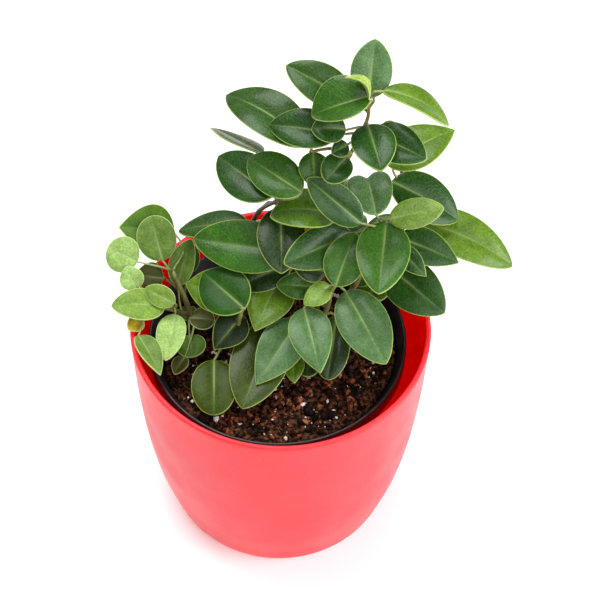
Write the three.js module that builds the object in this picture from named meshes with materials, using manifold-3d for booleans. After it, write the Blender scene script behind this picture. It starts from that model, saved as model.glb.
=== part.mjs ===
// A potted peperomia: six short leafy stems in a black nursery pot, which stands in a coral cachepot.
// Millimetres, +Z up. The origin is the middle of the outer pot's foot, and -Y is the front.
import * as THREE from "three";
import { mergeVertices } from "three/addons/utils/BufferGeometryUtils.js";
import Module from "manifold-3d";

const wasm = await Module();
wasm.setup();

// Outer pot
const POT_HEIGHT = 108;
const POT_RIM_RADIUS = 60;
const POT_FOOT_RADIUS = 41.5;
const POT_WALL = 2.2;
const POT_FLOOR = 3;
const POT_SEGMENTS = 40;

// Nursery pot, which stands a little to the left in the outer pot
const INNER_SHIFT = -1.2;
const INNER_TOP = 98;
const INNER_LIP_RADIUS = 51;
const INNER_FOOT_RADIUS = 34;
const INNER_WALL = 1.2;
const INNER_LIP_HEIGHT = 6;
const INNER_SEGMENTS = 36;
const DRAIN_HOLES = 4;
const DRAIN_RADIUS = 4;
const DRAIN_RING = 22;

// Soil
const CLEARANCE = 0.3;
const SOIL_TOP = 90.6;
const SOIL_SHOULDER = 2;
const SOIL_SLOPE = 0.07;
const STEM_HOLE_GAP = 0.6;
const STEM_FOOT = 72;
const HOLE_SIDES = 10;

// Blades
const BLADE_RIB_THICKNESS = 1.5;
const BLADE_EDGE_THICKNESS = 0.7;
const BLADE_STATIONS = [0.08, 0.24, 0.45, 0.68, 0.88, 1];
const BLADE_TIP_WIDTH = 0.9;
const PETIOLE_WIDTH = 1.7;
const PETIOLE_ARCH = 0.12;
const PETIOLE_SWING = 0.25;
const STEM_SIDES = 6;
const STEM_STEP = 11;

// Outlines: how fast a blade widens from its base, and narrows to its tip
const ROUND = { rise: 0.5, fall: 0.5 };
const OVAL = { rise: 0.55, fall: 0.7 };
const POINTED = { rise: 0.6, fall: 0.95 };
const HEART = { rise: 0.42, fall: 0.3 };

// Every leafy stem is a list of shoots. The first is the main stem, and each other one springs from it at
// the share "from" of its length. A leaf is [share of its shoot's length, base, tip, width, direction that
// the upper face looks in, rise of the midrib, fold of each half in degrees, outline].
const STEMS = {
  stem_tall: {
    color: 0x3f6b34,
    shoots: [
      {
        radius: 1.7,
        path: [[14, 18, 72], [14, 18, 84], [14, 18, 95], [18, 27, 125], [21, 32, 158], [27, 31, 181], [31, 30, 197], [31, 30, 206]],
        leaves: [
          [1.0, [31, 33, 204], [33, 50, 218], 16, [0, -3, 4], 0, 10, OVAL],
          [0.95, [25, 35, 199], [0, 45, 208], 16, [0, -2, 4], 2, 10, OVAL],
          [0.97, [32, 30, 208], [10, 27, 200], 22, [0, -1, 6], 1, 28, OVAL],
          [1.0, [31, 27, 210], [22, 32, 216], 9, [7, 2, 5], 3, 15, OVAL],
          [1.0, [36, 31, 210], [61, 24, 200], 15, [0, 1, 4], 3, 10, OVAL],
          [0.88, [32, 28, 190], [53, 15, 191], 16, [0, -2, 4], 1, 10, OVAL],
          [0.92, [31, 27, 196], [36, 6, 194], 17, [0, -1, 4], 1, 10, OVAL],
          [0.86, [20, 29, 188], [-6, 34, 187], 16, [0, -2, 4], 2, 10, OVAL],
          [0.89, [23, 27, 193], [10, 27, 193], 12, [0, -2, 4], 1, 10, OVAL],
          [0.85, [36, 35, 184], [44, 36, 183], 8, [0, -2, 4], 1, 10, OVAL],
          [0.83, [24, 27, 185], [18, 23, 184], 7, [0, -3, 4], 0, 10, OVAL],
          [0.76, [24, 27, 178], [19, 16, 175], 14, [0, -2, 4], 1, 10, ROUND],
          [0.58, [20, 20, 151], [-5, 18, 153], 20, [0, 0, 4], 4, 8, OVAL],
          [0.47, [23, 36, 140], [25, 52, 137], 14, [0, 1, 4], 2, 8, OVAL],
          [0.56, [20, 38, 149], [12, 54, 144], 14, [0, 1, 4], 2, 8, OVAL],
          [0.36, [16, 32, 126], [9, 53, 120], 17, [0, 1, 4], 2, 8, OVAL],
          [0.3, [22, 30, 120], [30, 53, 116], 17, [0, 1, 4], 2, 8, OVAL],
        ],
      },
      {
        from: 0.765,
        radius: 0.9,
        path: [[18, 31, 178], [10, 30, 177]],
        leaves: [
          [1.0, [9, 31, 180], [-23, 52, 184], 20, [0, -1, 4], 5, 12, OVAL],
          [1.0, [11, 31, 176], [12, 21, 167], 12, [0, -3, 4], 1, 10, OVAL],
        ],
      },
      {
        from: 0.59,
        radius: 0.9,
        path: [[10, 37, 156], [-1, 40, 160]],
        leaves: [[1.0, [-9, 41, 163], [-30, 61, 156], 14, [3, 2, 6], 0, 10, POINTED]],
      },
      {
        from: 0.21,
        radius: 1.2,
        path: [[14, 18, 119], [9, 12, 135]],
        leaves: [
          [1.0, [3, 11, 139], [-35, 19, 137], 21, [0, -3, 4], 1, 8, OVAL],
          [0.75, [3, 14, 128], [-17, 7, 122], 14, [0, -2, 4], 2, 8, OVAL],
          [0.6, [-1, 14, 119], [-10, -10, 116], 19, [0, -2, 4], 2, 8, POINTED],
        ],
      },
    ],
  },
  stem_right: {
    color: 0x4a7a35,
    shoots: [
      {
        radius: 1.6,
        path: [[20, 8, 72], [20, 8, 84], [20, 8, 95], [30, 14, 120], [38, 20, 150]],
        leaves: [
          [1.0, [36, 18, 155], [32, 37, 157], 17, [0, -2, 4], 2, 18, HEART],
          [1.0, [41, 16, 155], [62, 20, 158], 12, [0, -3, 4], 1, 10, OVAL],
          [0.97, [29, 7, 162], [9, 21, 172], 14, [0, -3, 4], 1, 10, OVAL],
          [0.94, [27, 19, 142], [1, 0, 146], 17, [0, -3, 4], 1, 8, OVAL],
          [1.0, [40, 17, 152], [37, -15, 148], 21, [0, -1, 4], 1, 8, OVAL],
          [0.88, [45, 18, 142], [69, 9, 138], 15, [0, -2, 4], 1, 8, POINTED],
          [0.88, [45, 12, 143], [56, 1, 139], 9, [0, -3, 4], 1, 8, POINTED],
          [0.86, [50, 34, 134], [92, 21, 122], 20, [0, -1, 4], 6, 6, OVAL],
          [0.7, [41, 14, 130], [64, -5, 124], 20, [0, -3, 4], 1, 6, OVAL],
          [0.6, [36, 26, 122], [47, 45, 124], 16, [0, 1, 4], 2, 8, OVAL],
          [0.4, [30, 20, 108], [44, 36, 112], 15, [0, 1, 4], 2, 8, OVAL],
          [0.33, [32, 16, 103], [44, 25, 103], 14, [0, 1, 4], 1, 8, OVAL],
        ],
      },
      {
        from: 0.9,
        radius: 1.1,
        path: [[46, 30, 142], [47, 38, 149], [45, 44, 157], [42, 40, 165]],
        leaves: [
          [1.0, [40, 33, 167], [66, 48, 172], 19, [0, -1, 5], 2, 8, POINTED],
          [0.4, [42, 37, 153], [69, 29, 140], 20, [0, -1, 4], 2, 8, OVAL],
          [0.6, [42, 43, 157], [52, 57, 153], 13, [0, 1, 4], 2, 8, OVAL],
        ],
      },
    ],
  },
  stem_front: {
    color: 0x3c6438,
    shoots: [
      {
        radius: 1.5,
        path: [[12, 0, 72], [12, 0, 84], [12, 0, 95], [17, 1, 112], [20, 2, 130]],
        leaves: [
          [1.0, [21, -4, 138], [28, 15, 148], 16, [0, -3, 4], 1, 8, OVAL],
          [1.0, [19, 1, 132], [9, -7, 130], 9, [0, -3, 4], 1, 12, OVAL],
          [1.0, [25, 0, 130], [41, -28, 121], 20, [0, -2, 4], 1, 6, OVAL],
          [0.85, [9, -4, 124], [16, -31, 118], 17, [0, -2, 4], 1, 6, POINTED],
          [0.95, [14, 5, 126], [-2, 4, 128], 11, [0, -3, 4], 2, 8, OVAL],
          [0.7, [22, 1, 112], [19, -24, 104], 14, [0, -2, 4], 1, 6, ROUND],
          [0.5, [-3, -1, 108], [-14, -36, 100], 23, [0, -2, 4], 1, 6, OVAL],
          [0.55, [12, -4, 102], [11, -20, 100], 11, [0, -2, 4], 0, 6, ROUND],
          [0.8, [7, -2, 113], [-9, -28, 105], 18, [0, -3, 4], 1, 6, POINTED],
          [0.6, [5, -11, 103], [6, -24, 101], 9, [0, -3, 4], 0, 10, POINTED],
          [0.98, [17, 5, 136], [5, 4, 139], 10, [0, -3, 4], 1, 8, OVAL],
          [0.42, [-6, 2, 104], [-12, -7, 103], 9, [0, -2, 4], 0, 8, OVAL],
        ],
      },
    ],
  },
  stem_left: {
    color: 0x55702c,
    shoots: [
      {
        radius: 1.3,
        path: [[-18, -6, 72], [-18, -6, 84], [-18, -6, 95], [-17, -6, 112], [-15, -7, 127]],
        leaves: [
          [1.0, [-13, -8, 125], [-31, 10, 127], 20, [0, -2, 4], 1, 6, OVAL],
          [0.9, [-18, 3, 122], [-38, 8, 122], 18, [0, -2, 4], 1, 6, POINTED],
          [0.75, [-15, -2, 116], [-26, -15, 110], 14, [0, -3, 4], 1, 6, POINTED],
          [0.45, [-26, -15, 103], [-25, -38, 98], 18, [0, -2, 4], 1, 6, ROUND],
        ],
      },
    ],
  },
  stem_back: {
    color: 0x33602f,
    shoots: [
      {
        radius: 1.4,
        path: [[-16, 12, 72], [-16, 12, 84], [-16, 12, 95], [-15, 24, 126], [-10, 26, 145], [-2, 20, 160]],
        leaves: [
          [1.0, [-4, 21, 161], [-26, 42, 160], 19, [0, -2, 3], 1, 8, OVAL],
          [1.0, [7, 19, 166], [-14, 36, 166], 17, [0, -5, 8], 2, 8, OVAL],
          [0.82, [-1, 25, 150], [0, 0, 140], 19, [0, -2, 4], 1, 6, OVAL],
          [0.72, [-14, 28, 136], [-42, 31, 127], 14, [0, 0, 4], 1, 8, OVAL],
          [0.5, [-18, 24, 116], [-25, 44, 112], 16, [0, 1, 4], 2, 8, OVAL],
          [0.35, [-16, 20, 104], [-22, 38, 102], 14, [0, 1, 4], 2, 8, OVAL],
          [0.55, [-10, 26, 120], [-4, 48, 115], 17, [0, 1, 4], 2, 8, OVAL],
        ],
      },
    ],
  },
  plantlet: {
    color: 0x7ba35c,
    shoots: [
      {
        radius: 1.5,
        path: [[-37, 12, 72], [-37, 12, 84], [-37, 12, 95], [-39, 14, 105], [-44, 20, 115]],
        leaves: [
          [0.46, [-42, 18, 108], [-37, 32, 121], 13, [-1, -3, 4], 0, 35, OVAL],
          [1.0, [-48, 22, 119], [-53, 36, 130], 16, [0, -3, 4], 0, 5, ROUND],
          [1.0, [-44, 36, 120], [-66, 33, 126], 21, [0, -2, 4], 1, 10, POINTED],
          [1.0, [-58, 21, 119], [-71, 25, 123], 15, [0, -3, 4], 0, 5, ROUND],
          [0.6, [-39, 27, 105], [-36, 34, 115], 8, [0, -3, 4], 0, 5, OVAL],
          [0.5, [-37, 10, 97], [-27, 9, 97], 11, [0, 0, 4], 0, 5, ROUND],
          [0.45, [-38, 11, 94], [-39, 18, 95], 8, [0, -3, 4], 0, 5, ROUND],
          [0.5, [-37, 3, 95], [-35, -8, 95], 12, [0, -2, 4], 0, 5, ROUND],
          [0.46, [-38, -8, 95], [-42, -16, 94], 7, [0, -1, 4], 0, 20, OVAL],
        ],
      },
      {
        from: 0.55,
        radius: 1.0,
        path: [[-41, 8, 103], [-43, 4, 112]],
        leaves: [
          [1.0, [-46, 3, 114], [-67, 0, 117], 14, [0, -1, 4], 1, 8, OVAL],
          [1.0, [-42, 2, 117], [-54, 8, 119], 9, [0, -3, 4], 1, 8, OVAL],
          [1.0, [-42, 2, 110], [-45, -18, 106], 12, [0, -2, 4], 1, 12, OVAL],
          [0.6, [-56, -10, 111], [-46, -28, 110], 11, [1, 0, 3], 0, 25, POINTED],
          [0.8, [-55, -1, 110], [-60, -7, 111], 7, [0, -2, 4], 0, 5, OVAL],
          [0.9, [-58, 10, 115], [-62, 17, 121], 10, [0, -3, 4], 0, 8, OVAL],
        ],
      },
      {
        from: 0.6,
        radius: 0.9,
        path: [[-42, 19, 104], [-48, 22, 108]],
        leaves: [[1.0, [-48, 20, 110], [-59, 20, 112], 12, [0, -3, 4], 0, 5, OVAL]],
      },
    ],
  },
};

// A closed geometry as a solid that can be joined and cut
function solid(geometry) {
  const bare = new THREE.BufferGeometry();
  bare.setAttribute("position", geometry.getAttribute("position"));
  if (geometry.index) bare.setIndex(geometry.index);
  const merged = mergeVertices(bare, 1e-4);
  return new wasm.Manifold(
    new wasm.Mesh({
      numProp: 3,
      vertProperties: new Float32Array(merged.attributes.position.array),
      triVerts: new Uint32Array(merged.index.array),
    }),
  );
}

// A solid as a geometry again
function geometryOf(body) {
  const mesh = body.getMesh();
  const geometry = new THREE.BufferGeometry();
  geometry.setAttribute("position", new THREE.BufferAttribute(mesh.vertProperties, 3));
  geometry.setIndex(new THREE.BufferAttribute(mesh.triVerts, 1));
  geometry.computeVertexNormals();
  return geometry;
}

// A turned body with its axis along Z, from a profile of [radius, height] points
function turned(profile, segments) {
  const points = profile.map(([radius, height]) => new THREE.Vector2(radius, height));
  return new THREE.LatheGeometry(points, segments).rotateX(Math.PI / 2);
}

function vector([x, y, z]) {
  return new THREE.Vector3(x, y, z);
}

// A round bar along a curve
function bar(curve, radius, sides, steps) {
  const outline = new THREE.Shape();
  for (let i = 0; i < sides; i += 1) {
    const angle = (i / sides) * 2 * Math.PI;
    outline[i ? "lineTo" : "moveTo"](radius * Math.cos(angle), radius * Math.sin(angle));
  }
  return new THREE.ExtrudeGeometry(outline, { steps, bevelEnabled: false, extrudePath: curve });
}

// Half the width of a blade at a share of its length
function halfWidth(share, width, outline) {
  const shape = (t) => t ** outline.rise * (1 - t) ** outline.fall;
  const widest = outline.rise / (outline.rise + outline.fall);
  return Math.max(BLADE_TIP_WIDTH / 2, ((width / 2) * shape(share)) / shape(widest));
}

// The places along a leaf, from the petiole's root in the stem to the tip of the blade. Each has its middle,
// half its width, the directions across and up, and how steeply each half is folded upwards.
function leafPlaces(curve, [share, base, tip, width, face, rise, foldDegrees, outline]) {
  const start = vector(base);
  const reach = vector(tip).sub(start);
  const along = reach.clone().normalize();
  const up = vector(face);
  up.addScaledVector(along, -up.dot(along)).normalize();
  const side = new THREE.Vector3().crossVectors(along, up);
  const blade = BLADE_STATIONS.map((t) => ({
    middle: start
      .clone()
      .addScaledVector(reach, t)
      .addScaledVector(up, rise * 4 * t * (1 - t)),
    half: halfWidth(t, width, outline),
    side,
    up,
    fold: THREE.MathUtils.degToRad(foldDegrees),
  }));
  const root = curve.getPointAt(share);
  const arch = root.clone().lerp(start, 0.5);
  arch.z += PETIOLE_ARCH * root.distanceTo(start);
  arch.addScaledVector(along, -PETIOLE_SWING * root.distanceTo(start));
  const line = [root, arch, start, blade[0].middle];
  const petiole = [];
  let across = side;
  for (let i = 2; i >= 0; i -= 1) {
    const onward = line[i + 1].clone().sub(line[Math.max(i - 1, 0)]).normalize();
    across = across.clone().addScaledVector(onward, -across.dot(onward)).normalize();
    const upward = new THREE.Vector3().crossVectors(across, onward);
    petiole.unshift({ middle: line[i], half: PETIOLE_WIDTH / 2, side: across, up: upward, fold: 0 });
  }
  return [...petiole, ...blade];
}

// A leaf: a closed grid, three points across on each face, from the petiole's root to the blade's tip
function leaf(places) {
  const across = [-1, 0, 1];
  const positions = [];
  for (const { middle, half, side, up, fold } of places) {
    for (const e of across) {
      const point = middle
        .clone()
        .addScaledVector(side, e * half * Math.cos(fold))
        .addScaledVector(up, Math.abs(e) * half * Math.sin(fold));
      const thickness = e === 0 ? BLADE_RIB_THICKNESS : BLADE_EDGE_THICKNESS;
      for (const level of [0.5, -0.5]) {
        positions.push(...point.clone().addScaledVector(up, level * thickness).toArray());
      }
    }
  }
  const at = (place, column, under) => (place * across.length + column) * 2 + under;
  const last = places.length - 1;
  const indices = [];
  const quad = (a, b, c, d) => indices.push(a, b, c, a, c, d);
  for (let i = 0; i < last; i += 1) {
    for (let j = 0; j < across.length - 1; j += 1) {
      quad(at(i, j, 0), at(i, j + 1, 0), at(i + 1, j + 1, 0), at(i + 1, j, 0));
      indices.push(at(i, j, 1), at(i + 1, j + 1, 1), at(i, j + 1, 1));
      indices.push(at(i, j, 1), at(i + 1, j, 1), at(i + 1, j + 1, 1));
    }
    quad(at(i, 0, 1), at(i, 0, 0), at(i + 1, 0, 0), at(i + 1, 0, 1));
    quad(at(i + 1, 2, 1), at(i + 1, 2, 0), at(i, 2, 0), at(i, 2, 1));
  }
  for (let j = 0; j < across.length - 1; j += 1) {
    quad(at(0, j, 1), at(0, j + 1, 1), at(0, j + 1, 0), at(0, j, 0));
    quad(at(last, j, 0), at(last, j + 1, 0), at(last, j + 1, 1), at(last, j, 1));
  }
  const geometry = new THREE.BufferGeometry();
  geometry.setAttribute("position", new THREE.Float32BufferAttribute(positions, 3));
  geometry.setIndex(indices);
  return geometry;
}

// A leafy stem: its shoots and leaves joined in one solid
function leafyStem({ shoots }) {
  let body = null;
  let mainCurve = null;
  const join = (geometry) => {
    const piece = solid(geometry);
    body = body ? body.add(piece) : piece;
  };
  for (const { from, radius, path, leaves } of shoots) {
    const points = path.map(vector);
    if (mainCurve) points.unshift(mainCurve.getPointAt(from));
    const curve = new THREE.CatmullRomCurve3(points);
    mainCurve ??= curve;
    join(bar(curve, radius, STEM_SIDES, Math.ceil(curve.getLength() / STEM_STEP)));
    for (const row of leaves) {
      join(leaf(leafPlaces(curve, row)));
    }
  }
  return geometryOf(body);
}

// Outer pot: a bowl-shaped cup with a flat foot and a plain rounded lip
function outerPot() {
  const outside = [
    [POT_FOOT_RADIUS, 0],
    [POT_FOOT_RADIUS + 2, 0.8],
    [POT_FOOT_RADIUS + 3.6, 2.4],
    [46.5, 4.6],
    [49, 13],
    [52.5, 27],
    [56, 48.6],
    [58.5, 75.6],
    [POT_RIM_RADIUS, POT_HEIGHT - 1],
  ];
  const lip = [
    [POT_RIM_RADIUS - 0.5, POT_HEIGHT],
    [POT_RIM_RADIUS - 1.6, POT_HEIGHT],
    [POT_RIM_RADIUS - POT_WALL, POT_HEIGHT - 1],
  ];
  const inside = outside
    .filter(([, height]) => height > POT_FLOOR + 1 && height < POT_HEIGHT - 10)
    .map(([radius, height]) => [radius - POT_WALL, height])
    .reverse();
  const floor = [
    [POT_FOOT_RADIUS, POT_FLOOR],
    [0, POT_FLOOR],
  ];
  return turned([[0, 0], ...outside, ...lip, ...inside, ...floor], POT_SEGMENTS);
}

// Radius of the nursery pot's outer wall at a height
function innerRadius(height) {
  const foot = POT_FLOOR + CLEARANCE;
  const share = (height - foot) / (INNER_TOP - foot);
  return THREE.MathUtils.lerp(INNER_FOOT_RADIUS, INNER_LIP_RADIUS - 1.4, share);
}

// Nursery pot: a thin tapered cup with a stepped lip and drain holes
function nurseryPot() {
  const foot = POT_FLOOR + CLEARANCE;
  const lipFoot = INNER_TOP - INNER_LIP_HEIGHT;
  const cup = turned(
    [
      [0, foot],
      [INNER_FOOT_RADIUS, foot],
      [innerRadius(lipFoot), lipFoot],
      [INNER_LIP_RADIUS, lipFoot],
      [INNER_LIP_RADIUS, INNER_TOP - 0.6],
      [INNER_LIP_RADIUS - 0.5, INNER_TOP],
      [INNER_LIP_RADIUS - INNER_WALL, INNER_TOP],
      [innerRadius(lipFoot) - INNER_WALL, lipFoot],
      [innerRadius(foot + INNER_WALL) - INNER_WALL, foot + INNER_WALL],
      [0, foot + INNER_WALL],
    ],
    INNER_SEGMENTS,
  );
  let body = solid(cup);
  for (let i = 0; i < DRAIN_HOLES; i += 1) {
    const angle = ((i + 0.5) / DRAIN_HOLES) * 2 * Math.PI;
    const hole = new THREE.CylinderGeometry(DRAIN_RADIUS, DRAIN_RADIUS, 4 * INNER_WALL, HOLE_SIDES)
      .rotateX(Math.PI / 2)
      .translate(DRAIN_RING * Math.cos(angle), DRAIN_RING * Math.sin(angle), foot);
    body = body.subtract(solid(hole));
  }
  return geometryOf(body).translate(INNER_SHIFT, 0, 0);
}

// Soft lumps in the soil's surface
function soilLumps(x, y) {
  return 0.7 * Math.sin(0.23 * x + 1) * Math.cos(0.19 * y) + 0.4 * Math.sin(0.5 * x + 0.41 * y);
}

// Soil: fills the nursery pot, higher at the right than at the left, with a plain hole for each main stem
function soil() {
  const foot = POT_FLOOR + CLEARANCE + INNER_WALL + CLEARANCE;
  const fit = (height) => innerRadius(height) - INNER_WALL - CLEARANCE;
  const shoulder = SOIL_TOP - SOIL_SHOULDER;
  const edge = fit(shoulder);
  const rings = [0.9, 0.74, 0.56, 0.38, 0.2, 0];
  const plug = turned(
    [[0, foot], [fit(foot), foot], [edge, shoulder], ...rings.map((share) => [edge * share, SOIL_TOP])],
    INNER_SEGMENTS,
  );
  const position = plug.getAttribute("position");
  for (let i = 0; i < position.count; i += 1) {
    const [x, y, z] = [position.getX(i), position.getY(i), position.getZ(i)];
    if (z > foot + 1) {
      const lumps = z > SOIL_TOP - 1 ? soilLumps(x, y) : 0;
      const height = z + SOIL_SLOPE * x + lumps;
      const spread = fit(height) / fit(z);
      position.setXYZ(i, x * spread, y * spread, height);
    }
  }
  let body = solid(plug.translate(INNER_SHIFT, 0, 0));
  const depth = 2 * (SOIL_TOP - STEM_FOOT + CLEARANCE);
  for (const { shoots } of Object.values(STEMS)) {
    const [{ radius, path }] = shoots;
    const width = radius + STEM_HOLE_GAP;
    const hole = new THREE.CylinderGeometry(width, width, depth, HOLE_SIDES)
      .rotateX(Math.PI / 2)
      .translate(path[0][0], path[0][1], STEM_FOOT - CLEARANCE + depth / 2);
    body = body.subtract(solid(hole));
  }
  return geometryOf(body);
}

const group = new THREE.Group();

function place(name, geometry, color, roughness) {
  const material = new THREE.MeshStandardMaterial({ color, roughness, metalness: 0 });
  const mesh = new THREE.Mesh(geometry, material);
  mesh.name = name;
  group.add(mesh);
}

place("outer_pot", outerPot(), 0xf2555a, 0.4);
place("nursery_pot", nurseryPot(), 0x17181c, 0.45);
place("soil", soil(), 0x2c1a14, 0.95);
for (const [name, stem] of Object.entries(STEMS)) {
  place(name, leafyStem(stem), stem.color, 0.5);
}

export default group;
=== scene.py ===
"""Looks of a potted peperomia: its leafy stems, soil and two pots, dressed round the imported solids."""
import logging
import math
import random
from bisect import bisect_left
from dataclasses import dataclass, field
from enum import Enum
from typing import Iterable, Sequence

import bmesh
import bpy
from bmesh.types import BMEdge, BMesh, BMFace, BMVert
from bpy.types import ID, Material, Mesh, NodeSocket, Object, ShaderNode
from mathutils import Matrix, Vector, noise


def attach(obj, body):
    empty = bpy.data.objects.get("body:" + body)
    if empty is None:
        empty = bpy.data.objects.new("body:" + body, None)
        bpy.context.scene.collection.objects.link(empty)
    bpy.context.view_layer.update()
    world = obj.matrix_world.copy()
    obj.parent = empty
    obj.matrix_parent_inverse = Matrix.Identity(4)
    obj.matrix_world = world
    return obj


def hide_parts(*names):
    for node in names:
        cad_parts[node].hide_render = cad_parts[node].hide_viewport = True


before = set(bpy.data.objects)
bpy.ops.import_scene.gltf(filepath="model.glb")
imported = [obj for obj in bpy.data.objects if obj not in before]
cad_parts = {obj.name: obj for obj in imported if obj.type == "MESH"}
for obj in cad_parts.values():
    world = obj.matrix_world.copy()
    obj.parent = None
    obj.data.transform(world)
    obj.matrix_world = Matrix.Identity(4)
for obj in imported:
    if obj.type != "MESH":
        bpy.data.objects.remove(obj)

log = logging.getLogger("peperomia")

MM = 0.001
PHOTO_SIDE = 600
SEED = 7

Point = tuple[float, float, float]
Colour = tuple[float, float, float, float]


def linear(value: float) -> float:
    """A channel of 0 to 255 as a screen shows it, made linear."""
    share = value / 255
    return share / 12.92 if share <= 0.04045 else ((share + 0.055) / 1.055) ** 2.4


def paint(red: float, green: float, blue: float, alpha: float = 1.0) -> Colour:
    """A linear colour from the channels that a screen shows."""
    return linear(red), linear(green), linear(blue), alpha


def blend(first: Colour, second: Colour, share: float) -> Colour:
    """The colour that lies a share of the way from the first to the second."""
    return tuple(a + (b - a) * share for a, b in zip(first, second))


def settle(bm: BMesh, name: str) -> Mesh:
    """Turns a finished mesh in the making into mesh data.

    Args:
        bm: The mesh, which is used up.
        name: The data's name.

    Returns:
        The data.
    """
    mesh = bpy.data.meshes.new(name)
    bm.to_mesh(mesh)
    bm.free()
    return mesh


def show(name: str, data: ID) -> Object:
    """Puts data into the scene.

    Args:
        name: The new object's name.
        data: Its data.

    Returns:
        The object.
    """
    made = bpy.data.objects.new(name, data)
    bpy.context.scene.collection.objects.link(made)
    return made


class Outline(Enum):
    """How fast a blade widens from its base, and narrows to its tip."""

    ROUND = (0.5, 0.5)
    OVAL = (0.55, 0.7)
    POINTED = (0.6, 0.95)
    HEART = (0.42, 0.3)

    def shape(self, share: float) -> float:
        """The blade's width at a share of its length, where 1 is its greatest width."""
        rise, fall = self.value
        return ((rise + fall) * share / rise) ** rise * ((rise + fall) * (1 - share) / fall) ** fall

    @property
    def notch(self) -> float:
        """How deep the tip is notched, in millimetres."""
        return 1.8 if self is Outline.HEART else 0.0


class Tint(Enum):
    """The green of a leaf, as its age makes it; the two darkest are painted shade for leaves deep in the
    bush, and the bluish one is a painted sheen.
    """

    # Painted shade: the two darkest greens stand for leaves that sit in shade deep in the bush.
    DARK = (20, 36, 6)
    SHADE = (28, 52, 10)
    DEEP = (31, 72, 9)
    MEDIUM = (40, 78, 8)
    GREEN = (49, 93, 13)
    FRESH = (72, 108, 14)
    # Painted sheen: a bluish grey-green that stands in for the sky reflecting off glossy leaves.
    BLUISH_SHEEN = (74, 108, 62)
    OLIVE = (49, 66, 1)
    LIGHT = (86, 118, 20)
    LIME = (112, 142, 54)
    YOUNG = (166, 186, 90)
    PALE = (144, 174, 98)
    MATT = (94, 122, 48)
    BROWN = (68, 70, 16)
    YELLOW = (166, 142, 16)

    @property
    def colour(self) -> Colour:
        """The tint as a linear colour."""
        return paint(*self.value)


@dataclass(frozen=True)
class Leaf:
    """One leaf: where its petiole leaves the shoot, and the blade's place, form and tint."""

    share: float
    base: Point
    tip: Point
    width: float
    face: Point
    rise: float
    fold: float
    tint: Tint
    outline: Outline = Outline.OVAL

    def half_width(self, share: float) -> float:
        """Half the blade's width at a share of its length."""
        return self.width / 2 * self.outline.shape(share)


@dataclass(frozen=True)
class Shoot:
    """A shoot: its radius, path and leaves, and how much it thins.

    A side shoot starts at a share of the main one.
    """

    radius: float
    path: Sequence[Point]
    leaves: Sequence[Leaf]
    start: float | None = None
    taper: float = 0.5


class Line:
    """A smooth line through points, measured by its length."""

    STEPS = 24
    LEAST_STEP = 1e-4

    def __init__(self, points: Iterable[Sequence[float]]) -> None:
        """Draws the line.

        Args:
            points: The points that it passes through.
        """
        knots = [Vector(point) for point in points]
        knots = [2 * knots[0] - knots[1], *knots, 2 * knots[-1] - knots[-2]]
        self.places: list[Vector] = [knots[1].copy()]
        for p0, p1, p2, p3 in zip(knots, knots[1:], knots[2:], knots[3:]):
            t01, t12, t23 = (
                max(self.LEAST_STEP, (b - a).length ** 0.5) for a, b in ((p0, p1), (p1, p2), (p2, p3))
            )
            m1 = t12 * ((p1 - p0) / t01 - (p2 - p0) / (t01 + t12) + (p2 - p1) / t12)
            m2 = t12 * ((p2 - p1) / t12 - (p3 - p1) / (t12 + t23) + (p3 - p2) / t23)
            for step in range(1, self.STEPS + 1):
                t = step / self.STEPS
                self.places.append(
                    (2 * t**3 - 3 * t**2 + 1) * p1 + (t**3 - 2 * t**2 + t) * m1
                    + (3 * t**2 - 2 * t**3) * p2 + (t**3 - t**2) * m2
                )
        self.marks = [0.0]
        for a, b in zip(self.places, self.places[1:]):
            self.marks.append(self.marks[-1] + (b - a).length)

    @property
    def length(self) -> float:
        """The line's length."""
        return self.marks[-1]

    def at(self, share: float) -> Vector:
        """The point at a share of the line's length.

        Args:
            share: 0 at the start and 1 at the end.

        Returns:
            The point.
        """
        want = share * self.length
        i = min(bisect_left(self.marks, want, 1), len(self.marks) - 1)
        span = self.marks[i] - self.marks[i - 1]
        t = min(1.0, (want - self.marks[i - 1]) / span) if span else 0.0
        return self.places[i - 1].lerp(self.places[i], t)

    def spread(self, count: int) -> list[Vector]:
        """So many evenly spaced points along the line, ends included."""
        return [self.at(i / (count - 1)) for i in range(count)]


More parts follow.
